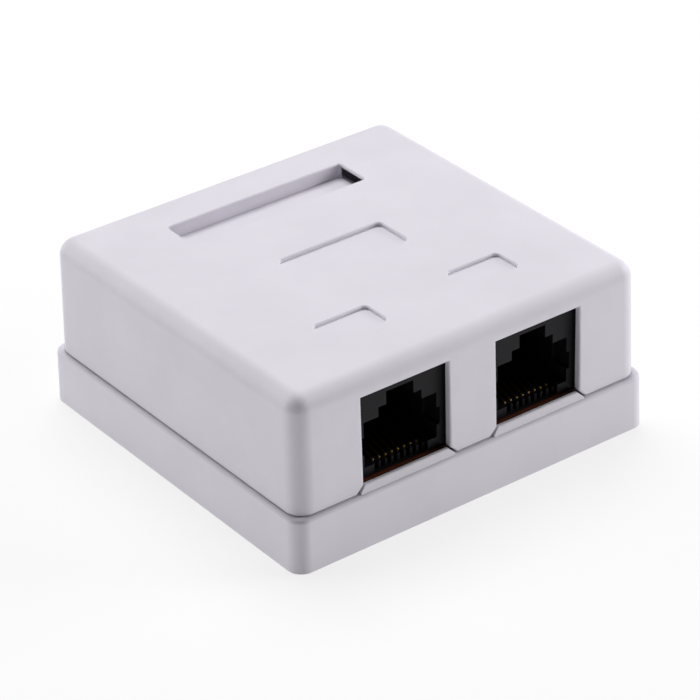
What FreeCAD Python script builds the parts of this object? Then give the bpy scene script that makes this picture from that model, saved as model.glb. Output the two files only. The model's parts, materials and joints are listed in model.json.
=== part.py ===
import FreeCAD, Part
import math
import os
import Sketcher

# Surface mount jack box with two 8-way modular sockets, in millimetres.
# The origin is at the middle of the underside. The sockets face -Y and +Z is up.

SIZES = {
    # base: a tray with a rim that the cover stands on
    "base_width": 59.0,
    "base_depth": 57.6,
    "rim_height": 7.9,
    "base_floor": 2.0,
    "base_wall": 1.9,
    "base_draft": 1.0,
    "base_corner": 2.2,
    "rim_round": 0.5,
    "well_corner": 1.0,
    # cover: a five-sided shell, set in from the base all round
    "cover_step": 0.8,
    "cover_gap": 0.22,
    "cover_draft": 0.9,
    "cover_wall": 1.5,
    "cover_roof": 1.8,
    "top_round": 2.4,
    "corner_more": 0.2,
    "hollow_corner": 1.2,
    # openings for the two sockets, and the pockets that their noses stand in
    "port_pitch": 22.0,
    "port_width": 14.2,
    "port_clear": 0.4,
    "port_head": 3.2,
    "port_flare": 1.0,
    "port_wall": 1.0,
    "port_edge": 0.25,
    "nose_side": 0.35,
    "nose_clear": 0.4,
    "nose_head": 0.3,
    # tongues of the base that close the feet of the two openings
    "tongue_rise": 1.15,
    "tongue_gap": 0.4,
    "tongue_root": 0.9,
    "tongue_ledge": 0.42,
    "tongue_set": 0.05,
    "tongue_thick": 0.75,
    "tongue_round": 0.3,
    # recesses in the roof
    "icon_width": 8.8,
    "icon_depth": 4.9,
    "icon_inset": 9.3,
    "icon_sink": 0.5,
    "plate_width": 17.2,
    "plate_depth": 6.5,
    "plate_offset": 0.2,
    "plate_sink": 0.6,
    "recess_corner": 0.8,
    "recess_edge": 0.15,
    "label_width": 29.3,
    "label_depth": 5.9,
    "label_inset": 7.9,
    "label_sink": 2.1,
    "label_corner": 0.4,
    "label_wall": 1.3,
    "label_slot_side": 0.4,
    "label_slot_lip": 0.45,
    # snap tabs that stand inside the cover's walls
    "tab_clear": 0.15,
    "tab_thick": 1.0,
    "tab_rise": 3.6,
    "tab_foot_drop": 0.3,
    "tab_length": 10.0,
    "side_tab_front": 8.0,
    "side_tab_back": 1.0,
    "back_tab_aside": 10.0,
    "front_tab_clear": 1.05,
    "bead_rise": 2.1,
    "bead_stand": 0.1,
    "bead_flat": 0.1,
    "bead_half": 0.4,
    "groove_sink": 0.25,
    "groove_half": 0.5,
    # circuit board
    "board_bottom": 7.2,
    "board_thick": 1.6,
    "board_margin": 5.5,
    "board_setback": 1.6,
    "board_nose": 0.1,
    "board_back_room": 12.8,
    "board_corner": 1.0,
    "board_bay": 4.6,
    # posts and clips that hold the board
    "post_radius": 2.0,
    "post_inset": 3.0,
    "post_front_inset": 4.0,
    "clip_clear": 0.15,
    "clip_thick": 1.2,
    "clip_bite": 0.6,
    "clip_hook": 0.4,
    "clip_ramp": 1.0,
    "clip_over": 0.05,
    "clip_length": 4.0,
    "clip_line": 18.0,
    # wall screws
    "screw_inset": 1.5,
    "screw_hole": 2.2,
    "screw_boss": 4.4,
    "screw_boss_height": 1.2,
    "screw_sink": 3.7,
    "screw_sink_angle": 90.0,
    # ways in for the cable, and the posts for its tie
    "window_width": 18.0,
    "window_depth": 7.0,
    "window_inset": 1.1,
    "window_corner": 1.5,
    "knockout_width": 12.0,
    "knockout_height": 7.0,
    "knockout_line": 0.8,
    "knockout_skin": 0.6,
    "tie_aside": 5.0,
    "tie_behind": 5.5,
    "tie_stem": 2.4,
    "tie_head": 5.0,
    "tie_head_thick": 1.6,
    "tie_height": 6.0,
    # ribs of the roof that press on the sockets
    "rib_aside": 5.0,
    "rib_thick": 1.0,
    "rib_start": 2.6,
    "rib_length": 12.0,
    "rib_clear": 0.1,
    # socket housings
    "jack_width": 15.9,
    "jack_depth": 17.0,
    "jack_height": 12.8,
    "jack_edge": 0.3,
    "jack_sill": 1.7,
    "cavity_width": 11.85,
    "cavity_height": 6.8,
    "cavity_depth": 13.0,
    "step_width": 7.0,
    "step_height": 1.4,
    "slot_width": 4.4,
    "slot_height": 1.9,
    "latch_bar": 2.0,
    "side_notch": 0.5,
    "side_notch_rise": 1.9,
    "side_notch_height": 2.6,
    "side_notch_depth": 3.0,
    "trough_floor": 0.4,
    "trough_side": 0.32,
    "comb_clear": 0.085,
    "comb_drop": 0.3,
    "comb_start": 0.5,
    "comb_length": 4.0,
    "peg_aside": 5.7,
    "peg_depth": 8.9,
    "peg_radius": 1.55,
    "peg_reach": 0.6,
    "peg_clear": 0.1,
    # rear carriers of the spring contacts
    "bay_width": 13.2,
    "bay_start": 12.0,
    "bay_height": 6.8,
    "carrier_clear": 0.1,
    "carrier_slot_clear": 0.1,
    "channel_height": 1.2,
    "channel_lip": 0.1,
    "rest_lip": 0.6,
    "rest_height": 2.1,
    "rest_depth": 1.6,
    # spring contacts
    "contact_pitch": 1.02,
    "contact_width": 0.45,
    "contact_thick": 0.35,
    "contact_lift": 0.3,
    "contact_front": 1.4,
    "contact_rise": 1.1,
    "contact_angle": 19.0,
    "contact_tip": 13.0,
    "contact_bend": 0.6,
    "contact_heel": 0.5,
    "tail_reach": 1.4,
    "tail_near": 13.9,
    "tail_far": 15.9,
    "tail_hole": 0.4,
    # wire blocks behind the sockets
    "block_end": 1.1,
    "block_depth": 7.0,
    "block_height": 9.7,
    "block_gap": 1.6,
    "block_back_margin": 2.0,
    "block_edge": 0.4,
    "way_pitch": 3.6,
    "way_slot": 1.1,
    "way_mouth": 2.4,
    "way_depth": 6.3,
    "way_throat": 1.3,
    # slotted blades in the wire blocks
    "blade_width": 2.8,
    "blade_thick": 0.5,
    "blade_sink": 0.9,
    "blade_gap": 0.35,
    "blade_gap_depth": 5.0,
    "blade_mouth": 1.3,
    "blade_throat": 0.7,
    "blade_clear": 0.15,
    "blade_tail": 0.8,
    "blade_hole": 0.6,
    # how far a cut runs past the face it opens
    "past": 1.0,
}

WAYS = 8
WAYS_PER_BLOCK = 4
# slack when edges are picked by their place, and the least volume that a real cut takes
LOOSE = 0.001
LEAST_CUT = 0.0001
SIDES = {"left": "-dim.port_pitch / 2", "right": "dim.port_pitch / 2"}

# places that several pieces share, each worked out from the sizes above
COVER_WIDTH = "(dim.base_width - 2 * dim.cover_step)"
COVER_DEPTH = "(dim.base_depth - 2 * dim.cover_step)"
COVER_FRONT = f"(-{COVER_DEPTH} / 2)"
COVER_FOOT = "(dim.rim_height + dim.cover_gap)"
NOSE_FACE = f"({COVER_FRONT} + dim.port_wall)"
JACK_FACE = f"({NOSE_FACE} + dim.nose_clear)"
JACK_BACK = f"({JACK_FACE} + dim.jack_depth)"
BOARD_WIDTH = "(dim.base_width - 2 * dim.board_margin)"
BOARD_FRONT = f"({JACK_FACE} + dim.board_setback)"
BOARD_BACK = "(dim.base_depth / 2 - dim.board_back_room)"
BOARD_TOP = "(dim.board_bottom + dim.board_thick)"
JACK_TOP = f"({BOARD_TOP} + dim.jack_height)"
CAVITY_BOTTOM = f"({BOARD_TOP} + dim.jack_sill)"
CAVITY_TOP = f"({CAVITY_BOTTOM} + dim.cavity_height)"
STEP_TOP = f"({CAVITY_TOP} + dim.step_height)"
SLOT_TOP = f"({STEP_TOP} + dim.slot_height)"
TROUGH_BOTTOM = f"({BOARD_TOP} + dim.trough_floor)"
BAY_TOP = f"({BOARD_TOP} + dim.bay_height)"
PORT_TOP = f"({JACK_TOP} + dim.port_clear)"
COVER_TOP = f"({PORT_TOP} + dim.port_head)"
ROOF_UNDER = f"({COVER_TOP} - dim.cover_roof)"
BEAD_LINE = "(dim.rim_height + dim.bead_rise)"
TAIL_BOTTOM = "(dim.board_bottom - dim.tail_reach)"
FRONT_ROW = f"({JACK_BACK} + dim.block_gap + dim.block_depth / 2)"
BACK_ROW = f"({BOARD_BACK} - dim.block_back_margin - dim.block_depth / 2)"
ROWS = {"front": FRONT_ROW, "back": BACK_ROW}
BLOCK_TOP = f"({BOARD_TOP} + dim.block_height)"
SCREW_X = f"({BOARD_WIDTH} / 2 - dim.screw_inset)"
SCREW_LINE = f"(({FRONT_ROW} + {BACK_ROW}) / 2)"
SIDE_TABS = {"front": f"({BOARD_FRONT} + dim.side_tab_front)", "back": f"({BOARD_BACK} - dim.side_tab_back)"}

doc = FreeCAD.newDocument("SurfaceMountJackBox")
dim = doc.addObject("Spreadsheet::Sheet", "dim")
for row, (alias, size) in enumerate(SIZES.items(), start=1):
    dim.set(f"A{row}", alias)
    dim.set(f"B{row}", str(size))
    dim.setAlias(f"B{row}", alias)
doc.recompute()


def newBody(label, x=None):
    body = doc.addObject("PartDesign::Body", label)
    body.Label = label
    if x:
        body.setExpression("Placement.Base.x", x)
    return body


def datum(body, role):
    return next(item for item in body.Origin.OriginFeatures if item.Role == role)


def valueOf(expression):
    value = dim.evalExpression(expression)
    return float(getattr(value, "Value", value))


def halves(size, centre="0"):
    return f"{centre} - ({size}) / 2", f"{centre} + ({size}) / 2"


def box(across, along):
    (left, right), (low, high) = across, along
    return [(left, low), (right, low), (right, high), (left, high)]


def disc(x, y, radius):
    return x, y, radius


def octagon(x, y, reach):
    # small holes and pegs have eight sides, which keeps the faces few
    near = f"({reach}) * tan(22.5 deg)"
    far = f"({reach})"
    ends = [(far, near), (near, far)]
    quarter = [(f"{x} + {a}", f"{y} + {b}") for a, b in ends]
    quarter += [(f"{x} - {a}", f"{y} + {b}") for a, b in reversed(ends)]
    quarter += [(f"{x} - {a}", f"{y} - {b}") for a, b in ends]
    quarter += [(f"{x} + {a}", f"{y} - {b}") for a, b in reversed(ends)]
    return quarter


def drawOutline(sketch, points):
    first = sketch.GeometryCount
    spots = [FreeCAD.Vector(valueOf(x), valueOf(y), 0) for x, y in points]
    for start, end in zip(spots, spots[1:] + spots[:1]):
        sketch.addGeometry(Part.LineSegment(start, end), False)
    for index in range(len(spots)):
        following = first + (index + 1) % len(spots)
        sketch.addConstraint(Sketcher.Constraint("Coincident", first + index, 2, following, 1))
    for index, (spot, (x, y)) in enumerate(zip(spots, points)):
        for kind, start, expression in (("DistanceX", spot.x, x), ("DistanceY", spot.y, y)):
            key = sketch.addConstraint(Sketcher.Constraint(kind, -1, 1, first + index, 1, start))
            sketch.setExpression(f"Constraints[{key}]", expression)


def drawDisc(sketch, x, y, radius):
    spot = FreeCAD.Vector(valueOf(x), valueOf(y), 0)
    size = valueOf(radius)
    rim = sketch.addGeometry(Part.Circle(spot, FreeCAD.Vector(0, 0, 1), size), False)
    for kind, start, expression in (("DistanceX", spot.x, x), ("DistanceY", spot.y, y)):
        key = sketch.addConstraint(Sketcher.Constraint(kind, -1, 1, rim, 3, start))
        sketch.setExpression(f"Constraints[{key}]", expression)
    key = sketch.addConstraint(Sketcher.Constraint("Radius", rim, size))
    sketch.setExpression(f"Constraints[{key}]", radius)


def newSketch(body, name, role, height, figures):
    sketch = body.newObject("Sketcher::SketchObject", f"{body.Label}_{name}_sketch")
    sketch.AttachmentSupport = [(datum(body, role), "")]
    sketch.MapMode = "FlatFace"
    # the XZ plane looks along -Y
    sign = "-" if role == "XZ_Plane" else ""
    sketch.setExpression("AttachmentOffset.Base.z", f"{sign}({height})")
    doc.recompute()
    for figure in figures:
        if len(figure) == 3 and isinstance(figure, tuple):
            drawDisc(sketch, *figure)
        else:
            drawOutline(sketch, figure)
    doc.recompute()
    return sketch


def extrude(body, name, sketch, length):
    pad = body.newObject("PartDesign::Pad", f"{body.Label}_{name}")
    pad.Profile = sketch
    pad.setExpression("Length", length)
    doc.recompute()
    return pad


def add(body, name, role, figures, span, taper=None):
    low, high = span
    sketch = newSketch(body, name, role, high if role == "XZ_Plane" else low, figures)
    pad = extrude(body, name, sketch, f"({high}) - ({low})")
    if taper:
        pad.setExpression("TaperAngle", f"-{taper}")
        doc.recompute()
    return pad


def cut(body, name, role, figures, span):
    low, high = span
    before = body.Shape.Volume
    sketch = newSketch(body, name, role, low if role == "XZ_Plane" else high, figures)
    pocket = body.newObject("PartDesign::Pocket", f"{body.Label}_{name}")
    pocket.Profile = sketch
    pocket.Type = "Length"
    pocket.setExpression("Length", f"({high}) - ({low})")
    doc.recompute()
    if body.Shape.Volume > before - LEAST_CUT:
        raise RuntimeError(f"{pocket.Name} takes nothing away")
    return pocket


def mirror(body, features, role="YZ_Plane"):
    copy = body.newObject("PartDesign::Mirrored", f"{features[-1].Name}_mirrored")
    copy.Originals = features
    copy.MirrorPlane = (datum(body, role), [""])
    body.Tip = copy
    doc.recompute()
    return copy


def repeat(body, features, pitch, count):
    copy = body.newObject("PartDesign::LinearPattern", f"{features[-1].Name}_row")
    copy.Originals = features
    copy.Direction = (datum(body, "X_Axis"), [""])
    copy.Mode = "Spacing"
    copy.setExpression("Offset", pitch)
    copy.Occurrences = count
    body.Tip = copy
    doc.recompute()
    return copy


def dress(body, kind, name, chosen, size):
    tip = body.Tip
    names = [f"Edge{index}" for index, edge in enumerate(tip.Shape.Edges, start=1) if chosen(edge)]
    if not names:
        raise RuntimeError(f"{body.Label} {name} finds no edge")
    feature = body.newObject(f"PartDesign::{kind}", f"{body.Label}_{name}")
    feature.Base = (tip, names)
    feature.setExpression("Radius" if kind == "Fillet" else "Size", size)
    doc.recompute()
    return feature


def isUpright(edge):
    size = edge.BoundBox
    return size.ZLength > 4 * max(size.XLength, size.YLength)


def isLevel(edge, height):
    size = edge.BoundBox
    return abs(size.ZMin - height) < LOOSE and abs(size.ZMax - height) < LOOSE


def uprightsWithin(across, along):
    # chooses the upright edges at the corners of a rectangle
    left, right, low, high = (valueOf(expression) for expression in across + along)

    def chosen(edge):
        size = edge.BoundBox
        inX = left - LOOSE < size.XMin and size.XMax < right + LOOSE
        inY = low - LOOSE < size.YMin and size.YMax < high + LOOSE
        return isUpright(edge) and inX and inY

    return chosen


def makeBase():
    body = newBody("base")
    outer = box(halves("dim.base_width"), halves("dim.base_depth"))
    add(body, "block", "XY_Plane", [outer], ("0", "dim.rim_height"), "dim.base_draft")
    dress(body, "Fillet", "corners", isUpright, "dim.base_corner")
    rim = valueOf("dim.rim_height")
    dress(body, "Fillet", "rim", lambda edge: isLevel(edge, rim), "dim.rim_round")
    wellX = halves("dim.base_width - 2 * dim.base_wall")
    wellY = halves("dim.base_depth - 2 * dim.base_wall")
    cut(body, "well", "XY_Plane", [box(wellX, wellY)], ("dim.base_floor", "dim.rim_height + dim.past"))
    dress(body, "Fillet", "well_corners", uprightsWithin(wellX, wellY), "dim.well_corner")
    makeTongues(body)
    makeTabs(body)
    makeBoardHolders(body)
    makeScrewPlaces(body)
    makeCablePlaces(body)
    return body


def makeTongues(body):
    # a thin lip rises from the rim into the foot of each opening and leans back to the cover's face
    top = "(dim.rim_height + dim.tongue_rise)"
    half = "(dim.port_width / 2 - dim.tongue_gap)"
    foot = f"({half} + dim.port_flare)"
    shoulder = f"({half} + {COVER_FOOT} + dim.port_flare - {top})"
    fill = [
        [
            (f"{centre} - {foot}", "dim.rim_height - dim.tongue_root"),
            (f"{centre} + {foot}", "dim.rim_height - dim.tongue_root"),
            (f"{centre} + {foot}", COVER_FOOT),
            (f"{centre} + {shoulder}", top),
            (f"{centre} - {shoulder}", top),
            (f"{centre} - {foot}", COVER_FOOT),
        ]
        for centre in SIDES.values()
    ]
    rimFace = "(-dim.base_depth / 2 + dim.rim_height * tan(dim.base_draft * 1 deg))"
    front = f"({rimFace} + dim.tongue_ledge)"
    add(body, "tongues", "XZ_Plane", fill, (front, f"{COVER_FRONT} + dim.tongue_thick"))
    slope = [
        (f"{front} - dim.past", "dim.rim_height"),
        (front, "dim.rim_height"),
        (f"{COVER_FRONT} + dim.tongue_set", top),
        (f"{COVER_FRONT} + dim.tongue_set", f"{top} + dim.past"),
        (f"{front} - dim.past", f"{top} + dim.past"),
    ]
    reach = "(dim.port_pitch / 2 + dim.port_width / 2 + dim.port_flare)"
    cut(body, "slope", "YZ_Plane", [slope], (f"-{reach}", reach))
    crest = valueOf(top)
    long = valueOf("dim.port_width / 2")
    dress(
        body, "Fillet", "tongue_crest",
        lambda edge: isLevel(edge, crest) and edge.BoundBox.XLength > long, "dim.tongue_round",
    )


def makeTabs(body):
    # the tabs stand just inside the cover's walls, and a low bead on each side tab sits at its groove
    outerX = f"({COVER_WIDTH} / 2 - dim.cover_wall - dim.tab_clear)"
    outerY = f"({COVER_DEPTH} / 2 - dim.cover_wall - dim.tab_clear)"
    innerX = f"({outerX} - dim.tab_thick)"
    innerY = f"({outerY} - dim.tab_thick)"
    wallX = "(dim.base_width / 2 - dim.base_wall / 2)"
    wallY = "(dim.base_depth / 2 - dim.base_wall / 2)"
    upper = ("dim.base_floor", "dim.rim_height + dim.tab_rise")
    lower = ("dim.base_floor", "dim.rim_height - dim.tab_foot_drop")
    crest = f"({outerX} + dim.bead_stand)"
    bead = [
        (f"{outerX} - dim.tab_thick / 2", f"{BEAD_LINE} - dim.bead_half"),
        (outerX, f"{BEAD_LINE} - dim.bead_half"),
        (crest, f"{BEAD_LINE} - dim.bead_flat"),
        (crest, f"{BEAD_LINE} + dim.bead_flat"),
        (outerX, f"{BEAD_LINE} + dim.bead_half"),
        (f"{outerX} - dim.tab_thick / 2", f"{BEAD_LINE} + dim.bead_half"),
    ]
    sideTabs = []
    for name, line in SIDE_TABS.items():
        place = halves("dim.tab_length", line)
        sideTabs += [
            add(body, f"{name}_side_tab", "XY_Plane", [box((innerX, outerX), place)], upper),
            add(body, f"{name}_side_foot", "XY_Plane", [box((innerX, wallX), place)], lower),
            add(body, f"{name}_bead", "XZ_Plane", [bead], place),
        ]
    mirror(body, sideTabs)
    place = halves("dim.tab_length", "dim.window_width / 2 + dim.back_tab_aside")
    backTabs = [
        add(body, "back_tab", "XY_Plane", [box(place, (innerY, outerY))], upper),
        add(body, "back_foot", "XY_Plane", [box(place, (innerY, wallY))], lower),
    ]
    mirror(body, backTabs)
    # the front tab stands between the two sockets
    place = halves("dim.port_pitch - dim.jack_width - 2 * dim.front_tab_clear")
    add(body, "front_tab", "XY_Plane", [box(place, (f"-{outerY}", f"-{innerY}"))], upper)
    add(body, "front_foot", "XY_Plane", [box(place, (f"-{wallY}", f"-{innerY}"))], lower)


def clipProfile(edge):
    # an arm beside the board's edge with a hook over the top of the board
    inner = f"({edge} + dim.clip_clear)"
    outer = f"({inner} + dim.clip_thick)"
    hook = f"({BOARD_TOP} + dim.clip_over)"
    top = f"({hook} + dim.clip_hook + dim.clip_ramp)"
    return [
        (inner, "dim.base_floor"),
        (outer, "dim.base_floor"),
        (outer, top),
        (inner, top),
        (f"{edge} - dim.clip_bite", f"{hook} + dim.clip_hook"),
        (f"{edge} - dim.clip_bite", hook),
        (inner, hook),
    ]


def makeBoardHolders(body):
    side = f"({BOARD_WIDTH} / 2 - dim.post_inset)"
    posts = [
        octagon(x, y, "dim.post_radius")
        for x in (f"-{side}", "0", side)
        for y in (f"{BOARD_FRONT} + dim.post_front_inset", f"{BOARD_BACK} - dim.post_inset")
    ]
    add(body, "posts", "XY_Plane", posts, ("dim.base_floor", "dim.board_bottom"))
    place = halves("dim.clip_length", f"({BOARD_FRONT} + dim.clip_line)")
    clip = add(body, "side_clip", "XZ_Plane", [clipProfile(f"{BOARD_WIDTH} / 2")], place)
    mirror(body, [clip])
    add(body, "back_clip", "YZ_Plane", [clipProfile(BOARD_BACK)], halves("dim.clip_length"))


def makeScrewPlaces(body):
    top = "(dim.base_floor + dim.screw_boss_height)"
    bosses = [disc(x, SCREW_LINE, "dim.screw_boss") for x in (f"-{SCREW_X}", SCREW_X)]
    add(body, "screw_bosses", "XY_Plane", bosses, ("dim.base_floor", top))
    before = body.Shape.Volume
    places = [disc(x, SCREW_LINE, "dim.screw_hole") for x in (f"-{SCREW_X}", SCREW_X)]
    sketch = newSketch(body, "screw_holes", "XY_Plane", top, places)
    hole = body.newObject("PartDesign::Hole", "base_screw_holes")
    hole.Profile = sketch
    doc.recompute()
    hole.DepthType = "ThroughAll"
    hole.setExpression("Diameter", "2 * dim.screw_hole")
    hole.HoleCutType = "Countersink"
    hole.setExpression("HoleCutDiameter", "2 * dim.screw_sink")
    hole.setExpression("HoleCutCountersinkAngle", "dim.screw_sink_angle")
    doc.recompute()
    if body.Shape.Volume > before - LEAST_CUT:
        raise RuntimeError("the screw holes take nothing away")


def makeCablePlaces(body):
    back = "(dim.base_depth / 2 - dim.base_wall - dim.window_inset)"
    across = halves("dim.window_width")
    along = (f"{back} - dim.window_depth", back)
    cut(body, "window", "XY_Plane", [box(across, along)], ("-dim.past", "dim.base_floor + dim.past"))
    dress(body, "Fillet", "window_corners", uprightsWithin(across, along), "dim.window_corner")
    # two T-headed posts for a cable tie
    x = "(dim.window_width / 2 + dim.tie_aside)"
    y = f"({BOARD_BACK} + dim.tie_behind)"
    top = "(dim.base_floor + dim.tie_height)"
    headBottom = f"({top} - dim.tie_head_thick)"
    head = box(halves("dim.tie_head", x), halves("dim.tie_stem", y))
    posts = [
        add(body, "tie_stem", "XY_Plane", [disc(x, y, "dim.tie_stem / 2")], ("dim.base_floor", headBottom)),
        add(body, "tie_head", "XY_Plane", [head], (headBottom, top)),
    ]
    mirror(body, posts)


def makeCover():
    body = newBody("cover")
    outer = box(halves(COVER_WIDTH), halves(COVER_DEPTH))
    add(body, "block", "XY_Plane", [outer], (COVER_FOOT, COVER_TOP), "dim.cover_draft")
    dress(body, "Fillet", "corners", isUpright, "dim.top_round + dim.corner_more")
    top = valueOf(COVER_TOP)
    dress(body, "Fillet", "top", lambda edge: isLevel(edge, top), "dim.top_round")
    hollowX = halves(f"{COVER_WIDTH} - 2 * dim.cover_wall")
    hollowY = halves(f"{COVER_DEPTH} - 2 * dim.cover_wall")
    cut(body, "hollow", "XY_Plane", [box(hollowX, hollowY)], (f"{COVER_FOOT} - dim.past", ROOF_UNDER))
    dress(body, "Fillet", "hollow_corners", uprightsWithin(hollowX, hollowY), "dim.hollow_corner")
    makePorts(body)
    makeSmallRecesses(body)
    makeLabelRecess(body)
    softenRecesses(body)
    makeCoverInside(body)
    return body


def makePorts(body):
    foot = f"{COVER_FOOT} - dim.past"
    footHalf = "(dim.port_width / 2 + dim.port_flare + dim.past)"
    shoulder = f"{COVER_FOOT} + dim.port_flare"
    half = "dim.port_width / 2"
    openings = [
        [
            (f"{centre} - {footHalf}", foot),
            (f"{centre} + {footHalf}", foot),
            (f"{centre} + {half}", shoulder),
            (f"{centre} + {half}", PORT_TOP),
            (f"{centre} - {half}", PORT_TOP),
            (f"{centre} - {half}", shoulder),
        ]
        for centre in SIDES.values()
    ]
    pockets = [
        box(halves("dim.jack_width + 2 * dim.nose_side", centre), (foot, f"{PORT_TOP} + dim.nose_head"))
        for centre in SIDES.values()
    ]
    within = f"{COVER_FRONT} + dim.cover_wall + dim.past"
    cut(body, "ports", "XZ_Plane", openings, (f"{COVER_FRONT} - dim.past", within))
    low, high, face = (valueOf(place) for place in (COVER_FOOT, PORT_TOP, NOSE_FACE))
    reach = valueOf("(dim.port_pitch + dim.port_width) / 2 + dim.port_flare + dim.past")

    def onMouth(edge):
        size = edge.BoundBox
        inFace = size.YMax < face and -reach < size.XMin and size.XMax < reach
        return inFace and low + LOOSE < size.ZMax < high + LOOSE

    dress(body, "Fillet", "port_edges", onMouth, "dim.port_edge")
    cut(body, "nose_pockets", "XZ_Plane", pockets, (NOSE_FACE, within))


def makeSmallRecesses(body):
    above = f"{COVER_TOP} + dim.past"
    line = f"({COVER_FRONT} + dim.icon_inset + dim.icon_depth / 2)"
    along = halves("dim.icon_depth", line)
    icons = [box(halves("dim.icon_width", centre), along) for centre in SIDES.values()]
    cut(body, "icon_recesses", "XY_Plane", icons, (f"{COVER_TOP} - dim.icon_sink", above))
    plate = box(halves("dim.plate_width"), halves("dim.plate_depth", "-dim.plate_offset"))
    cut(body, "plate_recess", "XY_Plane", [plate], (f"{COVER_TOP} - dim.plate_sink", above))
    level = valueOf(ROOF_UNDER)
    dress(
        body, "Fillet", "recess_corners",
        lambda edge: isUpright(edge) and edge.BoundBox.ZMin > level, "dim.recess_corner",
    )


def makeLabelRecess(body):
    # the recess is deeper than the roof, so a pan hangs under it
    line = f"({COVER_DEPTH} / 2 - dim.label_inset - dim.label_depth / 2)"
    across = halves("dim.label_width")
    along = halves("dim.label_depth", line)
    floor = f"({COVER_TOP} - dim.label_sink)"
    pan = box(
        halves("dim.label_width + 2 * dim.label_wall"), halves("dim.label_depth + 2 * dim.label_wall", line)
    )
    add(body, "label_pan", "XY_Plane", [pan], (f"{floor} - dim.label_wall", ROOF_UNDER))
    cut(body, "label_recess", "XY_Plane", [box(across, along)], (floor, f"{COVER_TOP} + dim.past"))
    dress(body, "Fillet", "label_corners", uprightsWithin(across, along), "dim.label_corner")
    # a slot in each end of the recess takes a tab of the label's window
    slotTop = f"{COVER_TOP} - dim.label_slot_lip"
    slot = box(halves("dim.label_depth - 2 * dim.label_slot_side", line), (floor, slotTop))
    reach = "(dim.label_width / 2 + dim.label_wall + dim.past)"
    cut(body, "label_slots", "YZ_Plane", [slot], (f"-{reach}", reach))


def softenRecesses(body):
    # takes the sharp edge off the rim of every recess in the roof
    top = valueOf(COVER_TOP)
    reachX = valueOf("(dim.port_pitch + dim.icon_width) / 2") + LOOSE
    reachY = valueOf(f"{COVER_DEPTH} / 2 - dim.label_inset") + LOOSE

    def onRim(edge):
        size = edge.BoundBox
        inX = -reachX < size.XMin and size.XMax < reachX
        inY = -reachY < size.YMin and size.YMax < reachY
        return isLevel(edge, top) and inX and inY

    dress(body, "Chamfer", "recess_rims", onRim, "dim.recess_edge")


def makeCoverInside(body):
    # two ribs under the roof press on each socket
    ribStart = f"({JACK_FACE} + dim.rib_start)"
    ribs = [
        box(halves("dim.rib_thick", f"(dim.port_pitch / 2 {sign} dim.rib_aside)"),
            (ribStart, f"{ribStart} + dim.rib_length"))
        for sign in ("-", "+")
    ]
    ribPair = add(body, "ribs", "XY_Plane", ribs, (f"{JACK_TOP} + dim.rib_clear", ROOF_UNDER))
    # a groove in each side wall faces each snap bead
    wallX = f"({COVER_WIDTH} / 2 - dim.cover_wall)"
    sunk = (f"{wallX} - dim.past", f"{wallX} + dim.groove_sink")
    groove = box(sunk, halves("2 * dim.groove_half", BEAD_LINE))
    length = "dim.tab_length + 2 * dim.groove_half"
    grooves = [
        cut(body, f"{name}_groove", "XZ_Plane", [groove], halves(length, line))
        for name, line in SIDE_TABS.items()
    ]
    mirror(body, [ribPair] + grooves)
    # a thin line round the part of the back wall that breaks out for a cable
    outer = "dim.knockout_width / 2"
    inner = "(dim.knockout_width / 2 - dim.knockout_line)"
    foot = f"{COVER_FOOT} - dim.past"
    top = f"{COVER_FOOT} + dim.knockout_height"
    line = [
        (f"-{outer}", foot),
        (f"-{inner}", foot),
        (f"-{inner}", f"{top} - dim.knockout_line"),
        (inner, f"{top} - dim.knockout_line"),
        (inner, foot),
        (outer, foot),
        (outer, top),
        (f"-{outer}", top),
    ]
    back = f"{COVER_DEPTH} / 2"
    span = (f"{back} - dim.cover_wall - dim.past", f"{back} - dim.knockout_skin")
    cut(body, "knockout_line", "XZ_Plane", [line], span)


def makeBoard():
    body = newBody("circuit_board")
    outer = box(halves(BOARD_WIDTH), (BOARD_FRONT, BOARD_BACK))
    sheet = ("dim.board_bottom", BOARD_TOP)
    add(body, "sheet", "XY_Plane", [outer], sheet)
    dress(body, "Fillet", "corners", isUpright, "dim.board_corner")
    # the board comes forward under each socket, a little past its face
    along = (f"{JACK_FACE} - dim.board_nose", f"{BOARD_FRONT} + dim.past")
    noses = [box(halves("dim.jack_width", centre), along) for centre in SIDES.values()]
    add(body, "noses", "XY_Plane", noses, sheet)
    through = ("dim.board_bottom - dim.past", f"{BOARD_TOP} + dim.past")
    # bays that leave the wall screws free
    bays = [disc(x, SCREW_LINE, "dim.board_bay") for x in (f"-{SCREW_X}", SCREW_X)]
    cut(body, "bays", "XY_Plane", bays, through)
    for name, centre in SIDES.items():
        for row, first in (("near", 0), ("far", 1)):
            x = f"{centre} + dim.contact_pitch * {first - (WAYS - 1) / 2}"
            tail = octagon(x, f"{JACK_FACE} + dim.tail_{row}", "dim.tail_hole")
            hole = cut(body, f"{name}_{row}_tail", "XY_Plane", [tail], through)
            repeat(body, [hole], "2 * dim.contact_pitch", WAYS // 2)
        for row, y in ROWS.items():
            x = f"{centre} - dim.way_pitch * {(WAYS_PER_BLOCK - 1) / 2}"
            tail = octagon(x, y, "dim.blade_hole")
            hole = cut(body, f"{name}_{row}_blade", "XY_Plane", [tail], through)
            repeat(body, [hole], "dim.way_pitch", WAYS_PER_BLOCK)
        y = f"{JACK_FACE} + dim.peg_depth"
        pegs = [
            octagon(f"{centre} {sign} dim.peg_aside", y, "dim.peg_radius + dim.peg_clear")
            for sign in ("-", "+")
        ]
        cut(body, f"{name}_peg_holes", "XY_Plane", pegs, through)
    return body


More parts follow.
